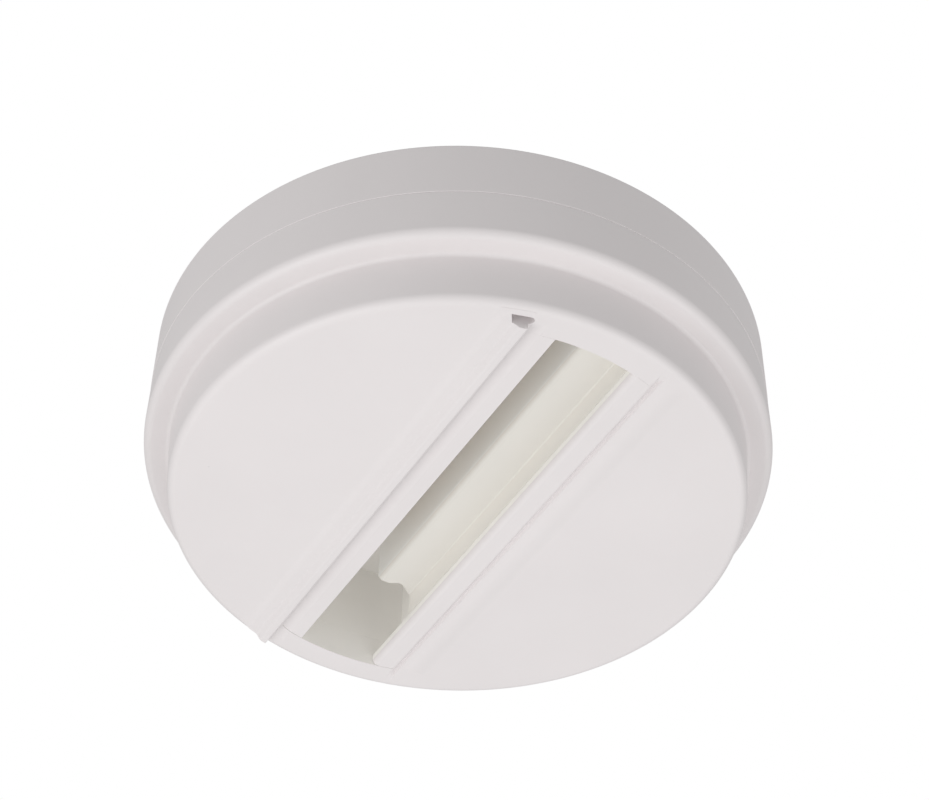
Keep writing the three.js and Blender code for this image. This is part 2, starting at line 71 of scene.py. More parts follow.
def corners(node):
    """Lowest and highest corner of a CAD node, in millimetres."""
    low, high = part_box(node)
    return low / MM, high / MM


# ---------------------------------------------------------------- sizes taken from the frame
COVER_LOW, COVER_HIGH = corners("cover")
BASE_LOW, BASE_HIGH = corners("base")
CHANNEL_LOW, CHANNEL_HIGH = corners("channel_body")
WIDE_LOW, WIDE_HIGH = corners("wide_contact_carrier")
NARROW_LOW, NARROW_HIGH = corners("narrow_contact_carrier")

BODY_RADIUS = BASE_HIGH.x
FACE_Z = CHANNEL_LOW.z
RIB_HEIGHT = FACE_Z - COVER_LOW.z
SEAM_GAP = 0.3
SEAM_Z = BASE_LOW.z - SEAM_GAP / 2
CHANNEL_TOP = CHANNEL_HIGH.z

# ---------------------------------------------------------------- detail sizes, in millimetres
SHOULDER_Z = -25.7
SHOULDER_FILLET = 1.8
STEP_RADIUS = 57.3
STEP_FILLET = 0.9
FACE_RADIUS = 56.7
FACE_FILLET = 1.8
SKIN = 2.2
PLATE = 2.5
SPIGOT_OUTER = 60.0
SPIGOT_INNER = 58.4
SPIGOT_FOOT = 4.2
SPIGOT_NECK = 2.4
TONGUE_GAP = 13.0
SEAM_ROUND = 0.12
SEAM_STEP = 0.08
WINDOW = {"half": 13.5, "radius": 50.3, "corner": 0.3, "edge": 0.03}
SIDE_GAP = 0.01
FAR_GAP = 0.12
COLLAR_RISE = 6.99
COLLAR_WALL = 1.5
COLLAR_ROUND = 0.02
RIB = {"inner": 14.65, "top": 15.9, "side": 17.5, "step": 19.0, "foot": 20.9, "end": 55.4, "near_end": 52.5}
RIB_STEP = {"height": 0.5, "end": 54.1, "fade": 1.5}
KEY_POCKET = {"far": 54.1, "inner": 13.9, "outer": 17.5, "outer_far": 18.4, "depth": 2.4, "wall": 1.4}
# The low strip's distances from the window's middle line and its height, then its run along X.
STRIP = {"inner": 14.1, "peak": 16.5, "outer": 20.0, "crown": 0.3}
STRIP_END = {"far": -46.9, "near": 54.2, "fade": 3.0}
# Where a groove starts, is deepest and ends, from the outside in, on each side of the window.
GROOVES = {
    -1: {"outer": 14.5, "middle": 13.7, "inner": 10.9, "depth": 0.42},
    1: {"outer": 14.15, "middle": 13.75, "inner": 12.7, "depth": 0.65},
}
GROOVE_END = 53.4
GROOVE_FADE = 2.5
LIP = {"slot": 8.35, "thick": 2.4, "edge": 0.12, "soft_edge": 1.5}
CHANNEL_WALL = 1.6
CHANNEL_OUTER = 15.8
CHANNEL_END = 54.0
CHANNEL_STEP = 7.0
EAR = {"radius": 4.0, "thick": 2.0, "hole": 1.8}

# Sides of a round shape that meets a thin edge, and of a middling one.
FINE_STEPS = 360
PART_STEPS = 96

# ---------------------------------------------------------------- the camera
# Angles in degrees, the distance from the origin in metres, the lens and the sensor in millimetres.
CAMERA = {"azimuth": 60.493, "elevation": -45.808, "roll": 1.237, "distance": 0.45858}
LENS = 85.636
SENSOR = 36.0
SHIFT = (0.0053, -0.0187)


# ---------------------------------------------------------------- mesh helpers
def arc(cx, cy, radius, start, end, steps):
    """Points on an arc, from one angle to another in degrees."""
    angles = [math.radians(start + (end - start) * i / steps) for i in range(steps + 1)]
    return [(cx + radius * math.cos(a), cy + radius * math.sin(a)) for a in angles]


def slope(start, end, steps):
    """Points of a soft slope, level at both ends."""
    (y0, z0), (y1, z1) = start, end
    points = []
    for i in range(steps + 1):
        share = i / steps
        points.append((y0 + (y1 - y0) * share, z0 + (z1 - z0) * (1 - math.cos(math.pi * share)) / 2))
    return points


def mesh_object(name, vertices, faces):
    mesh = bpy.data.meshes.new(name)
    mesh.from_pydata([Vector(v) * MM for v in vertices], [], faces)
    shape = bmesh.new()
    shape.from_mesh(mesh)
    bmesh.ops.recalc_face_normals(shape, faces=shape.faces)
    shape.to_mesh(mesh)
    shape.free()
    obj = bpy.data.objects.new(name, mesh)
    bpy.context.scene.collection.objects.link(obj)
    return obj


def loft(name, rings, closed=False):
    """Quads between successive rings of points, with caps unless the rings close on themselves."""
    count = len(rings[0])
    vertices = [point for ring in rings for point in ring]
    faces = []
    for i in range(len(rings) if closed else len(rings) - 1):
        here = i * count
        there = (i + 1) % len(rings) * count
        for j in range(count):
            k = (j + 1) % count
            faces.append((here + j, here + k, there + k, there + j))
    if not closed:
        faces.append(tuple(range(count)))
        faces.append(tuple(range(len(vertices) - count, len(vertices))))
    return mesh_object(name, vertices, faces)


def circle(radius, z, steps, cx=0.0, cy=0.0):
    turn = 2 * math.pi / steps
    return [(cx + radius * math.cos(i * turn), cy + radius * math.sin(i * turn), z) for i in range(steps)]


def lathe(name, profile, steps=256, cx=0.0, cy=0.0, closed=False):
    return loft(name, [circle(radius, z, steps, cx, cy) for radius, z in profile], closed)


def prism(name, outline, z0, z1):
    return loft(name, [[(x, y, z) for x, y in outline] for z in (z0, z1)])


def along_x(name, section, x0, x1):
    """A (y, z) section drawn out along X."""
    return loft(name, [[(x, y, z) for y, z in section] for x in (x0, x1)])


def block(name, x0, x1, y0, y1, z0, z1):
    return prism(name, [(x0, y0), (x1, y0), (x1, y1), (x0, y1)], z0, z1)


def settle(obj):
    """Applies an object's modifiers."""
    done = bpy.data.meshes.new_from_object(obj.evaluated_get(bpy.context.evaluated_depsgraph_get()))
    old = obj.data
    obj.modifiers.clear()
    obj.data = done
    bpy.data.meshes.remove(old)
    return obj


def combine(target, tool, operation):
    boolean = target.modifiers.new("combine", "BOOLEAN")
    boolean.operation = operation
    boolean.solver = "MANIFOLD"
    boolean.object = tool
    settle(target)
    bpy.data.objects.remove(tool)
    return target


def add(target, *tools):
    for tool in tools:
        combine(target, tool, "UNION")
    return target


def cut(target, *tools):
    for tool in tools:
        combine(target, tool, "DIFFERENCE")
    return target


def keep_within(target, tool):
    return combine(target, tool, "INTERSECT")


def tidy_mesh(obj, distance=0.01):
    shape = bmesh.new()
    shape.from_mesh(obj.data)
    bmesh.ops.remove_doubles(shape, verts=shape.verts, dist=distance * MM)
    bmesh.ops.dissolve_degenerate(shape, edges=shape.edges, dist=distance * MM)
    shape.to_mesh(obj.data)
    shape.free()
    return obj


def soften(obj, width, segments):
    """Rounds the sharp edges."""
    tidy_mesh(obj)
    bevel = obj.modifiers.new("edges", "BEVEL")
    bevel.width = width * MM
    bevel.segments = segments
    bevel.limit_method = "ANGLE"
    bevel.angle_limit = math.radians(50)
    bevel.use_clamp_overlap = True
    bevel.miter_outer = "MITER_ARC"
    return settle(obj)


def smooth(obj, angle=40.0):
    """Smooth shading that keeps flat faces flat and edges sharper than the angle sharp."""
    obj.data.polygons.foreach_set("use_smooth", [True] * len(obj.data.polygons))
    obj.data.set_sharp_from_angle(angle=math.radians(angle))
    weighted = obj.modifiers.new("normals", "WEIGHTED_NORMAL")
    weighted.keep_sharp = True
    weighted.weight = 60


def show(obj, body, slot, material, *nodes):
    """Places a finished piece on its body, in the place of CAD nodes."""
    obj.data.materials.clear()
    obj.data.materials.append(material)
    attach(obj, body)
    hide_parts(*nodes)


def give_painted_glow(obj, glowing_copy, chosen):
    """Gives the faces of a hollow a lighter, glowing copy of the material as painted light, where the test
    on a face's centre and normal holds.
    """
    obj.data.materials.append(glowing_copy)
    for face in obj.data.polygons:
        if chosen(face.center / MM, face.normal):
            face.material_index = 1


def dress(node, material, edge):
    """A CAD node kept as it is, with rounded edges and a material."""
    obj = frame["nodes"][node]
    obj.data.materials.clear()
    obj.data.materials.append(material)
    obj.data.polygons.foreach_set("use_smooth", [True] * len(obj.data.polygons))
    weld = obj.modifiers.new("weld", "WELD")
    weld.merge_threshold = 0.002 * MM
    bevel = obj.modifiers.new("edges", "BEVEL")
    bevel.width = edge * MM
    bevel.segments = 2
    bevel.limit_method = "ANGLE"
    bevel.angle_limit = math.radians(40)
    obj.modifiers.new("normals", "WEIGHTED_NORMAL")


# ---------------------------------------------------------------- materials
def shader_of(name):
    material = bpy.data.materials.new(name)
    material.use_nodes = True
    return material, material.node_tree, material.node_tree.nodes["Principled BSDF"]


def linear(red, green, blue):
    """A colour given in 0-255 sRGB, as linear light."""
    def one(value):
        share = value / 255
        return share / 12.92 if share <= 0.04045 else ((share + 0.055) / 1.055) ** 2.4
    return one(red), one(green), one(blue), 1.0


def shade(colour, factor):
    return tuple(min(1.0, c * factor) for c in colour[:3]) + (1.0,)


def noise(tree, scale, detail=2.0, roughness=0.5):
    coordinates = tree.nodes.new("ShaderNodeTexCoord")
    texture = tree.nodes.new("ShaderNodeTexNoise")
    texture.inputs["Scale"].default_value = scale
    texture.inputs["Detail"].default_value = detail
    texture.inputs["Roughness"].default_value = roughness
    tree.links.new(coordinates.outputs["Object"], texture.inputs["Vector"])
    return texture.outputs["Fac"]


def ramp(tree, factor, stops):
    node = tree.nodes.new("ShaderNodeValToRGB")
    elements = node.color_ramp.elements
    while len(elements) < len(stops):
        elements.new(0.5)
    for element, (position, colour) in zip(elements, stops):
        element.position = position
        element.color = colour
    tree.links.new(factor, node.inputs["Fac"])
    return node.outputs["Color"]


def blend_colours(tree, factor, first, second, mode):
    node = tree.nodes.new("ShaderNodeMix")
    node.data_type = "RGBA"
    node.blend_type = mode
    sockets = {s.identifier: s for s in node.inputs}
    for key, value in (("Factor_Float", factor), ("A_Color", first), ("B_Color", second)):
        if hasattr(value, "links"):
            tree.links.new(value, sockets[key])
        else:
            sockets[key].default_value = value
    return {s.identifier: s for s in node.outputs}["Result_Color"]


def spread(tree, factor, low, high):
    node = tree.nodes.new("ShaderNodeMapRange")
    node.inputs["To Min"].default_value = low
    node.inputs["To Max"].default_value = high
    tree.links.new(factor, node.inputs["Value"])
    return node.outputs["Result"]


def bump(tree, shader, height, strength, distance):
    node = tree.nodes.new("ShaderNodeBump")
    node.inputs["Strength"].default_value = strength
    node.inputs["Distance"].default_value = distance * MM
    tree.links.new(height, node.inputs["Height"])
    tree.links.new(node.outputs["Normal"], shader.inputs["Normal"])


def specks(tree, scale, size):
    """1 in a few tiny spots, 0 elsewhere."""
    coordinates = tree.nodes.new("ShaderNodeTexCoord")
    cells = tree.nodes.new("ShaderNodeTexVoronoi")
    cells.inputs["Scale"].default_value = scale
    tree.links.new(coordinates.outputs["Object"], cells.inputs["Vector"])
    spots = ramp(tree, cells.outputs["Distance"], [(0.0, (1, 1, 1, 1)), (size, (0, 0, 0, 1))])
    chosen = ramp(tree, cells.outputs["Color"], [(0.80, (0, 0, 0, 1)), (0.82, (1, 1, 1, 1))])
    return blend_colours(tree, 1.0, spots, chosen, "MULTIPLY")


def plastic(name, colour, roughness=0.45, mottle=0.012, grain=0.12, speck_share=0.25, glow=0.0):
    """Moulded plastic: faint cloudy colour, fine mould texture, a few tiny inclusions.

    A small glow is painted light: it stands for the light that comes through thin translucent walls into a
    hollow.
    """
    material, tree, shader = shader_of(name)
    clouds = noise(tree, 38.0, 3.0)
    tint = ramp(tree, clouds, [(0.3, shade(colour, 1 - mottle)), (0.7, shade(colour, 1 + mottle))])
    if speck_share:
        spots = specks(tree, 190.0, 0.035)
        dark = shade(colour, 1 - speck_share)
        tint = blend_colours(tree, spots, tint, dark, "MIX")
    tree.links.new(tint, shader.inputs["Base Color"])
    fine = noise(tree, 2600.0, 2.0)
    sheen = spread(tree, noise(tree, 160.0, 2.0), roughness - 0.05, roughness + 0.05)
    tree.links.new(sheen, shader.inputs["Roughness"])
    bump(tree, shader, fine, grain, 0.012)
    shader.inputs["IOR"].default_value = 1.5
    # Painted light: the emission makes the plastic glow though it is no lamp.
    if glow:
        shader.inputs["Emission Color"].default_value = colour
        shader.inputs["Emission Strength"].default_value = glow
    return material


def metal(name, colour, roughness=0.32):
    """Drawn or stamped metal: fine lines along X, cloudy tarnish."""
    tarnish = 0.12
    material, tree, shader = shader_of(name)
    shader.inputs["Metallic"].default_value = 1.0
    clouds = noise(tree, 130.0, 4.0, 0.6)
    tint = ramp(tree, clouds, [(0.35, shade(colour, 1 - tarnish)), (0.65, shade(colour, 1 + tarnish / 3))])
    tree.links.new(tint, shader.inputs["Base Color"])
    coordinates = tree.nodes.new("ShaderNodeTexCoord")
    mapping = tree.nodes.new("ShaderNodeMapping")
    mapping.inputs["Scale"].default_value = (1.0, 12.0, 12.0)
    lines = tree.nodes.new("ShaderNodeTexNoise")
    lines.inputs["Scale"].default_value = 300.0
    lines.inputs["Detail"].default_value = 3.0
    tree.links.new(coordinates.outputs["Object"], mapping.inputs["Vector"])
    tree.links.new(mapping.outputs["Vector"], lines.inputs["Vector"])
    sheen = spread(tree, lines.outputs["Fac"], roughness - 0.1, roughness + 0.1)
    tree.links.new(sheen, shader.inputs["Roughness"])
    bump(tree, shader, lines.outputs["Fac"], 0.25, 0.01)
    return material


def rubber(name, colour):
    """Matt moulded rubber with a dusty bloom."""
    material, tree, shader = shader_of(name)
    bloom = noise(tree, 90.0, 4.0)
    tint = ramp(tree, bloom, [(0.35, colour), (0.75, shade(colour, 1.7))])
    tree.links.new(tint, shader.inputs["Base Color"])
    tree.links.new(spread(tree, bloom, 0.62, 0.85), shader.inputs["Roughness"])
    bump(tree, shader, noise(tree, 1800.0, 3.0), 0.3, 0.02)
    return material


WHITE = plastic("white_plastic", linear(237, 232, 232))
# Painted light: a lighter copy of the white plastic that glows, for the insides of the window's collar and
# the channel.
WHITE_PAINTED_GLOW = plastic("white_plastic_painted_glow", linear(246, 244, 240), glow=0.055)
# Painted light: the cream plastic glows faintly, which brightens the carriers and the terminal housing.
CREAM_PAINTED_GLOW = plastic("cream_plastic", linear(236, 233, 227), roughness=0.5, glow=0.025)
# Painted light: a lighter copy of the cream plastic with a stronger glow, for the wide carrier's wall above
# the ledge.
CREAM_PAINTED_STRONG_GLOW = plastic("cream_plastic_painted_strong_glow", linear(240, 240, 238), roughness=0.5, glow=0.1)
GREY = plastic("grey_plastic", linear(200, 200, 197), roughness=0.5)
COPPER = metal("copper", linear(214, 150, 112))
BRASS = metal("brass", linear(214, 182, 110))
ZINC = metal("zinc_steel", linear(188, 192, 196), roughness=0.36)
RUBBER = rubber("dark_rubber", linear(52, 52, 53))
WIRES = {
    "l1": ("wire_brown", linear(110, 70, 44)),
    "l2": ("wire_black", linear(36, 36, 38)),
    "earth": ("wire_green_yellow", linear(120, 158, 52)),
    "l3": ("wire_grey", linear(141, 143, 146)),
    "neutral": ("wire_blue", linear(46, 104, 178)),
}


# ---------------------------------------------------------------- the window's outline
ARC_STEPS = 14
CORNER_STEPS = 5
SIDE_STEPS = 44


def window_outline(grow=0.0, half=WINDOW["half"], radius=WINDOW["radius"], corner=WINDOW["corner"]):
    """Closed outline of two straight sides along X joined by arcs about the origin, with rounded corners.

    grow moves the whole outline outwards. The number of points never changes, so outlines can be
    lofted.
    """
    half += grow
    radius += grow
    corner = max(corner + grow, 0.05)
    cy = half - corner
    cx = math.sqrt((radius - corner) ** 2 - cy ** 2)
    turn = math.degrees(math.atan2(cy, cx))
    quarter = arc(0, 0, radius, 0, turn, ARC_STEPS)[:-1]
    quarter += arc(cx, cy, corner, turn, 90, CORNER_STEPS)[:-1]
    first = math.atan2(half, cx)
    for i in range(SIDE_STEPS):
        angle = first + (math.pi / 2 - first) * i / SIDE_STEPS
        quarter.append((half / math.tan(angle), half))
    left = [(-x, y) for x, y in reversed(quarter[1:])]
    upper = quarter + [(0.0, half)] + left
    lower = [(x, -y) for x, y in reversed(upper)]
    return upper + [(-radius, 0.0)] + lower[:-1]


def at_height(outline, z):
    return [(x, y, z) for x, y in outline]


def round_ring(radius, z):
    """A circle whose points lie at the same angles as the window outline's."""
    return [(radius * x / math.hypot(x, y), radius * y / math.hypot(x, y), z) for x, y in window_outline()]


# ---------------------------------------------------------------- cover
def cover_rings():
    """Rings from the seam down the outside, across the face, up the window's collar and back inside."""
    wall_inner = BODY_RADIUS - SKIN
    tier_inner = STEP_RADIUS - SKIN
    edge = WINDOW["edge"]
    outside = arc(BODY_RADIUS - SEAM_STEP - SEAM_ROUND, SEAM_Z - SEAM_ROUND, SEAM_ROUND, 90, 0, 3)
    outside += arc(BODY_RADIUS - SHOULDER_FILLET, SHOULDER_Z + SHOULDER_FILLET, SHOULDER_FILLET, 0, -90, 12)
    outside += arc(STEP_RADIUS + STEP_FILLET, SHOULDER_Z - STEP_FILLET, STEP_FILLET, 90, 180, 10)
    outside += arc(FACE_RADIUS - FACE_FILLET, FACE_Z + FACE_FILLET, FACE_FILLET, 0, -90, 12)
    rings = [round_ring(radius, z) for radius, z in outside]
    for grow, z in arc(edge, FACE_Z + edge, edge, -90, -180, 4):
        rings.append(at_height(window_outline(grow), z))
    collar_top = FACE_Z + COLLAR_RISE
    for grow, z in arc(COLLAR_ROUND, collar_top - COLLAR_ROUND, COLLAR_ROUND, 180, 90, 6):
        rings.append(at_height(window_outline(grow), z))
    for grow, z in arc(COLLAR_WALL - edge, collar_top - edge, edge, 90, 0, 3):
        rings.append(at_height(window_outline(grow), z))
    rings.append(at_height(window_outline(COLLAR_WALL), FACE_Z + SKIN))
    face_fillet, step_round, wall_fillet, tip_round = 1.3, 0.4, 0.8, 0.3
    inside = arc(tier_inner - face_fillet, FACE_Z + SKIN + face_fillet, face_fillet, -90, 0, 5)
    inside += arc(tier_inner + step_round, SHOULDER_Z + SKIN - step_round, step_round, 180, 90, 3)
    inside += arc(wall_inner - wall_fillet, SHOULDER_Z + SKIN + wall_fillet, wall_fillet, -90, 0, 4)
    inside += [(wall_inner, SEAM_Z - SPIGOT_FOOT), (SPIGOT_INNER, SEAM_Z - SPIGOT_NECK)]
    inside += arc(SPIGOT_INNER + tip_round, COVER_HIGH.z - tip_round, tip_round, 180, 90, 3)
    inside += arc(SPIGOT_OUTER - tip_round, COVER_HIGH.z - tip_round, tip_round, 90, 0, 3)
    inside += [(SPIGOT_OUTER, SEAM_Z)]
    rings += [round_ring(radius, z) for radius, z in inside]
    return rings


def rib_section():
    """The high part beside the window, with the low step outside it."""
    low = FACE_Z - RIB_HEIGHT
    step = FACE_Z - RIB_STEP["height"]
    root = FACE_Z + 0.8
    edge = 0.3
    section = [(-RIB["inner"], root)]
    section += arc(-RIB["inner"] - edge, low + edge, edge, 0, -90, 5)
    section += slope((-RIB["top"], low), (-RIB["side"], step), 8)
    section += slope((-RIB["step"], step), (-RIB["foot"], FACE_Z - 0.02), 8)
    section += [(-RIB["foot"] - 0.3, FACE_Z + 0.05), (-RIB["foot"] - 0.3, root)]
    return section


def disc(radius, z0, z1, steps=FINE_STEPS):
    return lathe("disc", [(radius, z0), (radius, z1)], steps)


def key_rib():
    """The rib, whose high part stops at the pocket while its step fades out a little further on."""
    rib = along_x("rib", rib_section(), -BODY_RADIUS, BODY_RADIUS)
    keep_within(rib, disc(RIB["end"], FACE_Z - 4, FACE_Z + 2))
    beyond = block("beyond", 0, BODY_RADIUS, -BODY_RADIUS, 0, FACE_Z - 4, FACE_Z - RIB_STEP["height"])
    cut(rib, cut(beyond, disc(RIB["near_end"], FACE_Z - 5, FACE_Z + 2)))
    beyond = block("beyond", 0, BODY_RADIUS, -BODY_RADIUS, 0, FACE_Z - 4, FACE_Z)
    inner = RIB_STEP["end"] - RIB_STEP["fade"]
    fade = [(inner, FACE_Z - 5), (inner, FACE_Z - RIB_STEP["height"]), (RIB_STEP["end"], FACE_Z + 0.1)]
    cut(rib, cut(beyond, lathe("fade", fade, FINE_STEPS)))
    return soften(rib, 0.2, 3)


def low_strip():
    """The low crowned strip on the other side of the window, which fades out at its near end."""
    high = FACE_Z - STRIP["crown"]
    section = [(STRIP["inner"], FACE_Z + 0.8)]
    section += slope((STRIP["inner"], FACE_Z + 0.02), (STRIP["peak"], high), 10)
    section += slope((STRIP["peak"], high), (STRIP["outer"], FACE_Z + 0.01), 12)[1:]
    section += [(STRIP["outer"], FACE_Z + 0.8)]
    strip = along_x("strip", section, STRIP_END["far"], BODY_RADIUS)
    end = STRIP_END["near"]
    start = end - STRIP_END["fade"]
    taper = [(start, FACE_Z - 4), (start, high), (end, FACE_Z + 0.02), (end, FACE_Z + 2)]
    return keep_within(strip, lathe("taper", taper, FINE_STEPS))


def side_groove(side):
    """A shallow soft groove where the lip meets the cover, which runs on past the window's ends."""
    groove = GROOVES[side]
    outer, inner = side * groove["outer"], side * groove["inner"]
    top = (side * groove["middle"], FACE_Z + groove["depth"])
    section = slope((outer, FACE_Z - 0.01), top, 8)
    section += slope(top, (inner, FACE_Z - 0.01), 12)[1:]
    section += [(inner, FACE_Z - 1), (outer, FACE_Z - 1)]
    tool = along_x("groove", section, -BODY_RADIUS, BODY_RADIUS)
    above = FACE_Z + (groove["depth"] + 0.1)
    ends = [(GROOVE_END, FACE_Z - 2), (GROOVE_END, FACE_Z), (GROOVE_END - GROOVE_FADE, above)]
    return keep_within(tool, lathe("ends", ends, FINE_STEPS))


def key_pocket(margin, z0, z1):
    """The pocket behind the rib's near end: a short piece of a ring, rounded at the end by the slot."""
    pocket = KEY_POCKET
    near, far = RIB["near_end"] - margin, pocket["far"] + margin / 2
    middle, half = (near + far) / 2, (far - near) / 2
    end = math.degrees(math.asin((pocket["inner"] - margin + half) / middle))
    near_side = math.degrees(math.asin((pocket["outer"] + margin) / near))
    far_side = math.degrees(math.asin((pocket["outer_far"] + margin) / far))
    centre = (middle * math.cos(math.radians(end)), -middle * math.sin(math.radians(end)))
    outline = arc(0, 0, near, -near_side, -end, 6)
    outline += arc(*centre, half, 180 - end, -end, 12)[1:-1]
    outline += arc(0, 0, far, -end, -far_side, 6)
    return prism("pocket", outline, z0, z1)


def tongue_gaps():
    """The slits that part the spigot into eight snap tongues."""
    bars = []
    for i in range(4):
        angle = math.radians(45 * i + 22.5)
        across = Vector((-math.sin(angle), math.cos(angle), 0)) * TONGUE_GAP / 2
        ahead = Vector((math.cos(angle), math.sin(angle), 0)) * BODY_RADIUS * 1.1
        for side in (-1, 1):
            inner = ahead * side * 0.6
            outer = ahead * side
            outline = [inner - across, outer - across, outer + across, inner + across]
            bars.append(prism("slit", [(p.x, p.y) for p in outline], SEAM_Z + 0.1, 0.0))
    return bars


def in_window(centre, normal):
    """Whether a face is on the inside of the window's collar."""
    reach = WINDOW["radius"] + 0.02
    within = abs(centre.y) < WINDOW["half"] and math.hypot(centre.x, centre.y) < reach
    return within and centre.z > FACE_Z + 0.1


def build_cover():
    cover = loft("cover_moulding", cover_rings(), closed=True)
    roof = FACE_Z + KEY_POCKET["depth"]
    boss = key_pocket(KEY_POCKET["wall"], FACE_Z + 0.6, FACE_Z + 3.8)
    add(cover, key_rib(), low_strip(), boss)
    cut(cover, key_pocket(0.0, FACE_Z - 4, roof), side_groove(1), side_groove(-1), *tongue_gaps())
    tidy_mesh(cover)
    smooth(cover)
    show(cover, "cover", "white_plastic", WHITE, "cover")
    # Painted light: the inside of the window's collar gets the lighter, glowing copy of the white plastic.
    give_painted_glow(cover, WHITE_PAINTED_GLOW, in_window)


# ---------------------------------------------------------------- base
CHANNEL_SCREW_AT = (30.0, 19.5)
CEILING_SLOT_AT = (38.0, 32.0)
CEILING_SLOT = {"half": 2.4, "straight": 5.0}
TERMINAL_Y = 33.5
TERMINAL_SCREW_X = 24.6
SADDLE_AT = (20.0, -36.0)
SADDLE_SPREAD = 8.0
CABLE_ENTRY = {"x": -6.0, "y": -36.0, "hole": 11.3, "recess": 13.6, "recess_depth": 1.1}
POST_FEET = {"channel": -7.9, "terminal": -5.5, "saddle": -9.0}
POST = {"radius": 3.4, "pilot": 1.35, "pilot_top": -0.8}
# The hollows in the ceiling side: their depth, and the sizes of what stays between them.
BACK = {"depth": 0.45, "rim": 4.5, "hub": 16.0, "spoke": 1.2, "slot_land": 5.2, "hole_land": 2.2}


def quarters(at):
    return [(sx * at[0], sy * at[1]) for sx, sy in ((1, 1), (-1, 1), (-1, -1), (1, -1))]


def tangent_slot(at, half, straight):
    """Outline of a round-ended slot that lies along a circle about the origin."""
    outline = arc(straight / 2, 0, half, -90, 90, 10) + arc(-straight / 2, 0, half, 90, 270, 10)
    angle = math.atan2(at[1], at[0]) + math.pi / 2
    along, up = math.cos(angle), math.sin(angle)
    return [(at[0] + x * along - y * up, at[1] + x * up + y * along) for x, y in outline]


def base_posts():
    x, y = SADDLE_AT
    posts = [(at, POST_FEET["channel"]) for at in quarters(CHANNEL_SCREW_AT)]
    posts += [((side * TERMINAL_SCREW_X, TERMINAL_Y), POST_FEET["terminal"]) for side in (-1, 1)]
    posts += [((x, y + side * SADDLE_SPREAD), POST_FEET["saddle"]) for side in (-1, 1)]
    return posts


def base_back_hollows():
    """Shallow hollows in the ceiling side: a rim, a cross and a land round each opening stay."""
    hollow_radius = BODY_RADIUS - BACK["rim"]
    hollow = lathe("hollow", [(hollow_radius, -BACK["depth"]), (hollow_radius, 1.0)], 256)
    low, high = -BACK["depth"] - 1, 0.5
    spoke = BACK["spoke"]
    lands = [disc(BACK["hub"], low, high, PART_STEPS)]
    lands += [block("land", -BODY_RADIUS, BODY_RADIUS, -spoke, spoke, low, high)]
    lands += [block("land", -spoke, spoke, -BODY_RADIUS, BODY_RADIUS, low, high)]
    for at in quarters(CEILING_SLOT_AT):
        land = tangent_slot(at, BACK["slot_land"], CEILING_SLOT["straight"])
        lands.append(prism("land", land, low, high))
    entry = CABLE_ENTRY
    radius = entry["recess"] + BACK["hole_land"]
    lands.append(lathe("land", [(radius, low), (radius, high)], PART_STEPS, entry["x"], entry["y"]))
    return cut(hollow, *lands)


def build_base():
    wall_inner = BODY_RADIUS - SKIN
    rim = SEAM_Z + 0.02
    fillet, inner_edge, top_edge = 0.6, 0.2, 0.8
    profile = [(0.5, -PLATE)]
    profile += arc(wall_inner - fillet, -PLATE - fillet, fillet, 90, 0, 4)
    profile += arc(wall_inner + inner_edge, rim + inner_edge, inner_edge, 180, 270, 3)
    profile += arc(BODY_RADIUS - SEAM_ROUND, rim + SEAM_ROUND, SEAM_ROUND, 270, 360, 3)
    profile += arc(BODY_RADIUS - top_edge, -top_edge, top_edge, 0, 90, 6)
    profile += [(0.5, 0.0)]
    base = lathe("base_moulding", profile, 256)
    for (x, y), foot in base_posts():
        add(base, lathe("post", [(POST["radius"], foot), (POST["radius"], -PLATE + 0.2)], 48, x, y))
        cut(base, lathe("pilot", [(POST["pilot"], foot - 1), (POST["pilot"], POST["pilot_top"])], 32, x, y))
    for at in quarters(CEILING_SLOT_AT):
        slot = tangent_slot(at, CEILING_SLOT["half"], CEILING_SLOT["straight"])
        cut(base, prism("slot", slot, -PLATE - 1, 1))
    entry = CABLE_ENTRY
    for radius, low in ((entry["hole"], -PLATE - 1), (entry["recess"], -entry["recess_depth"])):
        cut(base, lathe("hole", [(radius, low), (radius, 1)], PART_STEPS, entry["x"], entry["y"]))
    cut(base, base_back_hollows())
    tidy_mesh(base)
    smooth(base)
    show(base, "fixed_base", "white_plastic", WHITE, "base")


# ---------------------------------------------------------------- room for the bars and their tabs
# Each bar's side of the slot.
BARS = {"l1": -1, "l2": 1, "l3": 1, "neutral": -1}
BAR = {"height": 2.0, "depth": 1.5}
MOUTH = {"reach": 2.0, "low": 0.5, "high": 1.5}
ROOM = 0.3


def bar_room(side):
    """Grooves and tab slots for the bars on one side, with an open mouth towards the slot."""
    tools = []
    for name, bar_side in BARS.items():
        if bar_side != side:
            continue
        low, high = corners("conductor_" + name)
        bar_top = low.z + BAR["height"]
        front = low.y if side > 0 else -high.y
        for y0, y1, z0, z1 in (
            (front - ROOM, front + BAR["depth"] + ROOM, low.z - ROOM, bar_top + ROOM),
            (front - MOUTH["reach"], front + 0.1, low.z + MOUTH["low"], low.z + MOUTH["high"]),
        ):
            inner, outer = sorted((side * y0, side * y1))
            tools.append(block("groove", low.x - ROOM, high.x + ROOM, inner, outer, z0, z1))
        tools.append(block("tab_room", *tab_box(name), low.z - ROOM, high.z + ROOM))
    return tools


def tab_box(name):
    """The tab's footprint with its clearance: lowest and highest x, then y."""
    node = "earth_strip" if name == "earth" else "conductor_" + name
    points = [vertex.co / MM for vertex in frame["nodes"][node].data.vertices]
    top = max(p.z for p in points)
    tab = [p for p in points if p.z > top - 0.01]
    xs, ys = [p.x for p in tab], [p.y for p in tab]
    return min(xs) - ROOM, max(xs) + ROOM, min(ys) - ROOM, max(ys) + ROOM


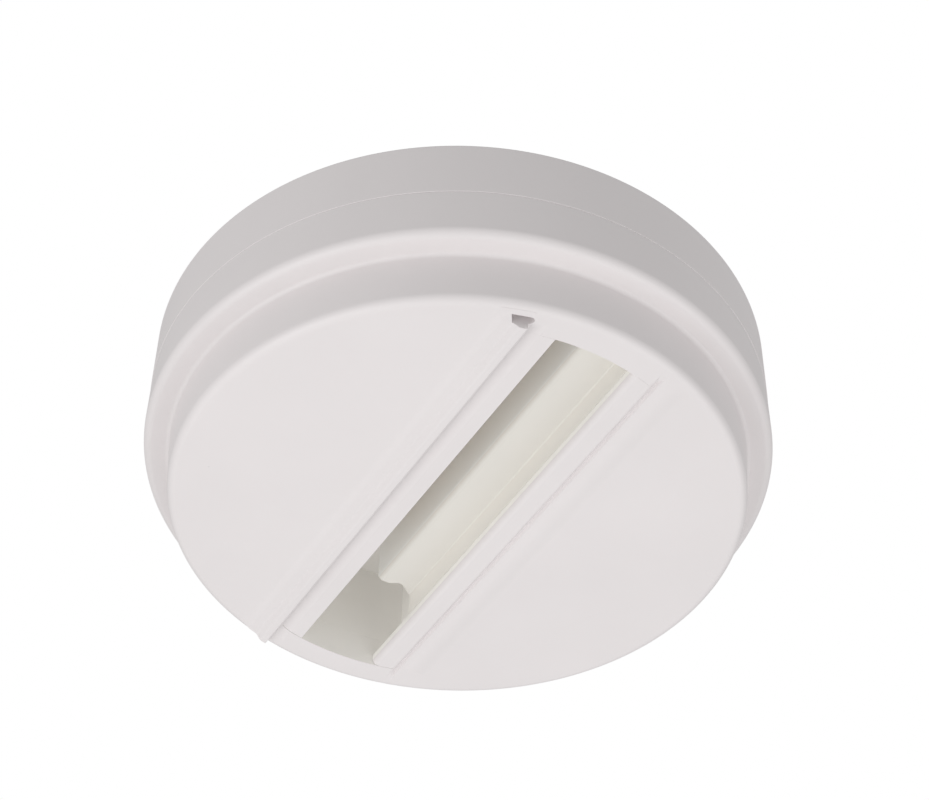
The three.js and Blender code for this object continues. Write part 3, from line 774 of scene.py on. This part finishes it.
def tab_slots():
    """Slots in the channel's roof for the five tabs."""
    return [
        block("tab_slot", *tab_box(name), CHANNEL_TOP - CHANNEL_WALL - 0.2, 0)
        for name in ("l1", "l2", "earth", "l3", "neutral")
    ]


# ---------------------------------------------------------------- channel with its two lips
def channel_room(half, z0, z1):
    """Space inside the channel. Its far end stands flush with the cover's collar."""
    room = prism("room", window_outline(0, half, CHANNEL_END - CHANNEL_WALL, 0.5), z0, z1)
    stop = block("stop", -BODY_RADIUS, 0, -BODY_RADIUS, BODY_RADIUS, z0 - 1, z1 + 1)
    return cut(room, cut(stop, disc(WINDOW["radius"], z0 - 2, z1 + 2)))


def slot_tool():
    """The slot between the lips, flared at the face so that the lips get rounded edges."""
    def side(edge):
        shape = [(LIP["slot"] + edge, FACE_Z - 1)]
        shape += arc(LIP["slot"] + edge, FACE_Z + edge, edge, -90, -180, 8)
        return shape + [(LIP["slot"], FACE_Z + LIP["thick"] + 1)]
    section = side(LIP["soft_edge"]) + [(-y, z) for y, z in reversed(side(LIP["edge"]))]
    return along_x("slot", section, -BODY_RADIUS, BODY_RADIUS)


def in_channel(centre, normal):
    """Whether a face is on the inside of the channel or on the sides of the slot."""
    faces_out = centre.x * normal.x + centre.y * normal.y > 0.1
    if faces_out or not FACE_Z + 0.02 < centre.z < CHANNEL_TOP - 0.5:
        return False
    return centre.z > FACE_Z + 1.2 or abs(centre.y) < LIP["slot"] + 0.02


def build_channel():
    neck_top = FACE_Z + CHANNEL_STEP + 0.5
    floor_top = FACE_Z + CHANNEL_STEP + CHANNEL_WALL
    neck = WINDOW["half"] - SIDE_GAP
    neck_outline = window_outline(0, neck, WINDOW["radius"] - SIDE_GAP, WINDOW["corner"])
    channel = prism("channel_moulding", neck_outline, FACE_Z, neck_top)
    far_end = block("far_end", -BODY_RADIUS, 0, -BODY_RADIUS, BODY_RADIUS, FACE_Z - 1, neck_top + 1)
    cut(channel, cut(far_end, disc(WINDOW["radius"] - FAR_GAP, FACE_Z - 2, neck_top + 2)))
    trunk_outline = window_outline(0, CHANNEL_OUTER, CHANNEL_END, 1.0)
    add(channel, prism("trunk", trunk_outline, FACE_Z + CHANNEL_STEP, CHANNEL_TOP))
    radius, hole = EAR["radius"], EAR["hole"]
    ear_foot = CHANNEL_TOP - EAR["thick"]
    for x, y in quarters(CHANNEL_SCREW_AT):
        ear = block("ear", x - radius, x + radius, min(y, 0), max(y, 0), ear_foot, CHANNEL_TOP)
        add(channel, ear, lathe("ear_end", [(radius, ear_foot), (radius, CHANNEL_TOP)], 48, x, y))
        cut(channel, lathe("ear_hole", [(hole, ear_foot - 1), (hole, CHANNEL_TOP + 1)], 32, x, y))
    throat = channel_room(neck - CHANNEL_WALL, FACE_Z + LIP["thick"], floor_top + 1)
    cavity = channel_room(CHANNEL_OUTER - CHANNEL_WALL, floor_top, CHANNEL_TOP - CHANNEL_WALL)
    cut(channel, slot_tool(), throat, cavity, side_groove(1), side_groove(-1), *tab_slots())
    tidy_mesh(channel)
    smooth(channel)
    show(channel, "fixed_base", "white_plastic", WHITE, "channel_body")
    # Painted light: the channel's inside and the slot's sides get the lighter, glowing copy of the white
    # plastic.
    give_painted_glow(channel, WHITE_PAINTED_GLOW, in_channel)


# ---------------------------------------------------------------- contact carriers
def eased(points, steps):
    """A soft wave through the points, level at each of them."""
    wave = []
    for start, end in zip(points, points[1:]):
        wave += slope(start, end, steps)[:-1]
    return wave + [points[-1]]


def carrier_section(side, wall, flush, corner):
    """A carrier's section. It fills the channel's side, with a ledge at the slot and a wall above it."""
    foot, ledge, shelf = FACE_Z + 2.7, FACE_Z + 8.0, FACE_Z + 8.9
    lip, outer, top = 11.3, 13.9, WIDE_HIGH.z
    section = [(flush + 0.05, foot), (lip, foot), (lip, shelf), (outer, shelf), (outer, top)]
    section += [(wall + 0.3, top), (wall, top - 0.3)]
    section += arc(wall + corner, ledge + corner, corner, 180, 270, 8)
    section += [(flush - 0.25, ledge)] if flush - wall > corner + 0.3 else []
    section += [(flush, ledge - 0.25), (flush, foot + 0.05)]
    return [(side * y, z) for y, z in section]


def carrier_room(side, plan):
    """The space a carrier may fill: its plan outline, cut back to the round ends of the channel."""
    lower, upper = WINDOW["radius"] - 0.6, WIDE_HIGH.x + 0.5
    step = FACE_Z + 7.3
    ends = [(lower, FACE_Z - 1), (lower, step), (upper, step), (upper, 1)]
    return keep_within(prism("room", plan, FACE_Z, 0), lathe("ends", ends, FINE_STEPS))


def on_deep_wall(centre, normal):
    """Whether a face is on the wide carrier's wall above the ledge."""
    return centre.y < WIDE_LOW.y + 0.1 and centre.z > FACE_Z + 8.5


def build_wide_carrier():
    flush = 8.4
    far = eased([(0.0, -33.2), (2.7, -33.1), (5.0, -32.1), (8.8, -34.2), (14.5, -34.4)], 6)
    plan = [(x, y) for y, x in far] + [(BODY_RADIUS, 14.5), (BODY_RADIUS, 0.0)]
    carrier = along_x("wide_carrier", carrier_section(1, WIDE_LOW.y, flush, 1.2), -BODY_RADIUS, BODY_RADIUS)
    keep_within(carrier, carrier_room(1, plan))
    cut(carrier, *bar_room(1))
    soften(carrier, 0.12, 2)
    smooth(carrier)
    show(carrier, "fixed_base", "cream_plastic", CREAM_PAINTED_GLOW, "wide_contact_carrier")
    # Painted light: the wall above the ledge gets the lighter, more strongly glowing cream copy.
    give_painted_glow(carrier, CREAM_PAINTED_STRONG_GLOW, on_deep_wall)


def build_narrow_carrier():
    far = NARROW_LOW.x
    plan = [(far, -14.5), (BODY_RADIUS, -14.5), (BODY_RADIUS, 0.0), (far, 0.0)]
    carrier = along_x("narrow_carrier", carrier_section(-1, 8.6, 8.5, 0.2), -BODY_RADIUS, BODY_RADIUS)
    keep_within(carrier, carrier_room(-1, plan))
    cut(carrier, *bar_room(-1))
    soften(carrier, 0.12, 2)
    smooth(carrier)
    show(carrier, "fixed_base", "cream_plastic", CREAM_PAINTED_GLOW, "narrow_contact_carrier")


# ---------------------------------------------------------------- screws
def threaded(name, x, y, radius, core, pitch, low, high):
    """A screw shank with a helical thread, tapered to a blunt tip."""
    sides = 20
    steps = int((high - low) / pitch * 5)
    rings = []
    for i in range(steps + 1):
        z = low + (high - low) * i / steps
        taper = min(1.0, 0.35 + (high - z) / (radius * 1.1))
        fade = min(1.0, max(0.0, (z - low - 0.3) / 0.6))
        ring = []
        for j in range(sides):
            turn = j / sides
            angle = turn * 2 * math.pi
            wave = abs(((z / pitch - turn) % 1.0) * 2 - 1)
            thread = radius + (core - radius) * wave * fade
            reach = thread * taper
            ring.append((x + reach * math.cos(angle), y + reach * math.sin(angle), z))
        rings.append(ring)
    return loft(name, rings)


def build_screw(node, head_height, pitch):
    low, high = corners(node)
    x, y = (low.x + high.x) / 2, (low.y + high.y) / 2
    head = (high.x - low.x) / 2
    bottom, seat = low.z, low.z + head_height
    shank = 1.4 if node.startswith("terminal_screw") else 1.05
    crown = head_height * 0.62
    profile = [(head * 0.45, bottom)]
    profile += arc(head - crown, bottom + crown, crown, -80, 0, 6)
    profile += [(head, seat - 0.12), (head - 0.12, seat), (shank, seat), (shank, seat + 0.4)]
    screw = lathe(node + "_piece", profile, 48, x, y)
    slot_floor = bottom + head_height * 0.55
    cut(screw, block("driver", x - head - 1, x + head + 1, y - 0.4, y + 0.4, bottom - 1, slot_floor))
    add(screw, threaded("shank", x, y, shank, shank * 0.76, pitch, seat + 0.2, high.z))
    tidy_mesh(screw, 0.003)
    smooth(screw, 32)
    show(screw, frame["nodes"][node]["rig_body"], "zinc_steel", ZINC, node)


def build_screws():
    """Every screw, from the head height and thread pitch of its kind."""
    kinds = {
        "channel_screw": (2.0, 0.9),
        "terminal_screw": (1.8, 0.6),
        "terminal_fixing": (1.9, 0.9),
        "saddle_screw": (2.0, 0.9),
    }
    for node in sorted(frame["nodes"]):
        for kind, (head_height, pitch) in kinds.items():
            if node.startswith(kind):
                build_screw(node, head_height, pitch)


# ---------------------------------------------------------------- wires
def tube(name, path, radius, sides=20):
    """A round tube along a path in a plane of constant x."""
    rings = []
    for i, point in enumerate(path):
        ahead = path[min(i + 1, len(path) - 1)] - path[max(i - 1, 0)]
        ahead.normalize()
        up = Vector((0, -ahead.z, ahead.y))
        across = Vector((1, 0, 0))
        rings.append([
            point + radius * (math.cos(a) * across + math.sin(a) * up)
            for a in (2 * math.pi * j / sides for j in range(sides))
        ])
    return loft(name, rings)


def smooth_path(stops, steps):
    """A Catmull-Rom curve through the stops."""
    path = []
    for i in range(len(stops) - 1):
        before, here = stops[max(i - 1, 0)], stops[i]
        there, after = stops[i + 1], stops[min(i + 2, len(stops) - 1)]
        for j in range(steps):
            t = j / steps
            path.append(0.5 * (
                2 * here + (there - before) * t + (2 * before - 5 * here + 4 * there - after) * t * t
                + (3 * here - before - 3 * there + after) * t ** 3
            ))
    return path + [stops[-1]]


WIRE_RADIUS = 1.3
TAB_LEVEL = -5.2
CLAMP_LEVEL = -11.6


def build_wires():
    """Each wire from its bar's tab, level at first, down to its clamp."""
    for pole, (slot, colour) in WIRES.items():
        material = plastic(slot, colour, 0.38, 0.04, 0.1, 0)
        low, high = corners("wire_" + pole)
        x = (low.x + high.x) / 2
        stops = [(low.y, TAB_LEVEL), (low.y + 4.6, TAB_LEVEL), (11.5, -5.4), (15.5, -6.7)]
        stops += [(19.0, -9.2), (22.5, -11.2), (high.y, CLAMP_LEVEL)]
        path = smooth_path([Vector((x, y, z)) for y, z in stops], 8)
        wire = tube("wire_" + pole + "_piece", path, WIRE_RADIUS)
        smooth(wire)
        show(wire, frame["nodes"]["wire_" + pole]["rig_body"], slot, material, "wire_" + pole)


# ---------------------------------------------------------------- cable entry
def build_grommet():
    """A rubber grommet: a flange on each side of the base's plate and a soft sleeve below."""
    entry = CABLE_ENTRY
    hole = entry["hole"] - ROOM
    seat = -PLATE - ROOM
    flange, edge, bore = hole + 1.6, 0.3, 5.0
    profile = [(bore, -0.4)] + arc(flange, -0.5, edge, 90, 0, 4)
    profile += [(hole + 1.9, -0.8), (hole, -0.8), (hole, seat)]
    profile += arc(flange, seat - edge, edge, 90, -20, 4) + [(hole + 1.3, -4.4)]
    profile += [(9.4, -4.75), (8.3, -5.1), (7.7, -5.6), (7.3, -6.6), (7.0, -7.6)]
    profile += arc(6.2, -8.5, 0.5, 20, -90, 5)
    profile += [(5.6, -9.0), (5.2, -8.7), (bore, -8.2), (bore, -4.0)]
    grommet = lathe("cable_grommet_piece", profile, PART_STEPS, entry["x"], entry["y"], closed=True)
    smooth(grommet)
    show(grommet, frame["nodes"]["cable_grommet"]["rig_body"], "dark_rubber", RUBBER, "cable_grommet")


# ---------------------------------------------------------------- the rest of the CAD nodes
def dress_inner_nodes():
    """The CAD nodes that no piece has replaced."""
    for node, obj in frame["nodes"].items():
        if obj.hide_render:
            continue
        if node.startswith("conductor"):
            dress(node, COPPER, 0.15)
        elif node.startswith(("earth", "terminal_clamp")):
            dress(node, BRASS, 0.2)
        elif node == "load_bracket":
            dress(node, ZINC, 0.25)
        elif node == "cable_saddle":
            dress(node, GREY, 0.5)
        elif node == "terminal_housing":
            dress(node, CREAM_PAINTED_GLOW, 0.3)


# ---------------------------------------------------------------- camera, light and floor
def place_camera():
    azimuth, elevation = math.radians(CAMERA["azimuth"]), math.radians(CAMERA["elevation"])
    back = Vector((
        math.sin(azimuth) * math.cos(elevation),
        -math.cos(azimuth) * math.cos(elevation),
        math.sin(elevation),
    ))
    data = bpy.data.cameras.new("camera")
    data.sensor_width = SENSOR
    data.lens = LENS
    data.shift_x, data.shift_y = SHIFT
    data.clip_start = 0.01
    camera = bpy.data.objects.new("camera", data)
    bpy.context.scene.collection.objects.link(camera)
    camera.rotation_mode = "QUATERNION"
    roll = Quaternion((0, 0, 1), math.radians(CAMERA["roll"]))
    camera.rotation_quaternion = (-back).to_track_quat("-Z", "Y") @ roll
    camera.location = back * CAMERA["distance"]
    bpy.context.scene.camera = camera


def area_light(name, place, size, power):
    """A soft round light that looks at the origin."""
    data = bpy.data.lights.new(name, "AREA")
    data.shape = "DISK"
    data.size = size
    data.energy = power
    light = bpy.data.objects.new(name, data)
    bpy.context.scene.collection.objects.link(light)
    light.location = place
    light.rotation_mode = "QUATERNION"
    light.rotation_quaternion = (-place).to_track_quat("-Z", "Y")


# The surround's strength, then each light's name, azimuth, elevation and watts; lengths in metres.
GLOW = 0.508
LIGHT_DISTANCE = 0.9
LIGHT_SIZE = 0.7
LIGHTS = (
    ("light_key", 270, -45, 2.75),
    ("light_right", 45, -60, 1.3),
    ("light_behind", 90, -45, 0.75),
)


def studio():
    """A white backdrop, an even dim surround and the soft lights."""
    world = bpy.data.worlds.new("studio")
    bpy.context.scene.world = world
    world.use_nodes = True
    tree = world.node_tree
    tree.nodes.clear()
    output = tree.nodes.new("ShaderNodeOutputWorld")
    path = tree.nodes.new("ShaderNodeLightPath")
    mix = tree.nodes.new("ShaderNodeMixShader")
    glow = tree.nodes.new("ShaderNodeBackground")
    glow.inputs["Strength"].default_value = GLOW
    backdrop = tree.nodes.new("ShaderNodeBackground")
    backdrop.inputs["Strength"].default_value = 1.0
    for node in (glow, backdrop):
        node.inputs["Color"].default_value = (1, 1, 1, 1)
    tree.links.new(path.outputs["Is Camera Ray"], mix.inputs[0])
    tree.links.new(glow.outputs[0], mix.inputs[1])
    tree.links.new(backdrop.outputs[0], mix.inputs[2])
    tree.links.new(mix.outputs[0], output.inputs["Surface"])
    for name, azimuth, elevation, power in LIGHTS:
        around, above = math.radians(azimuth), math.radians(elevation)
        flat = math.cos(above)
        away = Vector((math.cos(around) * flat, math.sin(around) * flat, math.sin(above)))
        area_light(name, away * LIGHT_DISTANCE, LIGHT_SIZE, power)
    bpy.context.scene.view_settings.view_transform = "Standard"


def floor():
    """A wide white floor a metre below, which lights the face from underneath."""
    side, level = 12000.0, -1000.0
    places = [(-side, -side, level), (side, -side, level), (side, side, level), (-side, side, level)]
    plane = mesh_object("floor", places, [(0, 1, 2, 3)])
    material, tree, shader = shader_of("floor")
    tint = ramp(tree, noise(tree, 1.5, 3.0), [(0.3, linear(251, 251, 251)), (0.7, linear(254, 254, 254))])
    tree.links.new(tint, shader.inputs["Base Color"])
    shader.inputs["Roughness"].default_value = 0.8
    plane.data.materials.append(material)


place_camera()
studio()
floor()
build_cover()
build_base()
build_channel()
build_wide_carrier()
build_narrow_carrier()
build_screws()
build_wires()
build_grommet()
dress_inner_nodes()
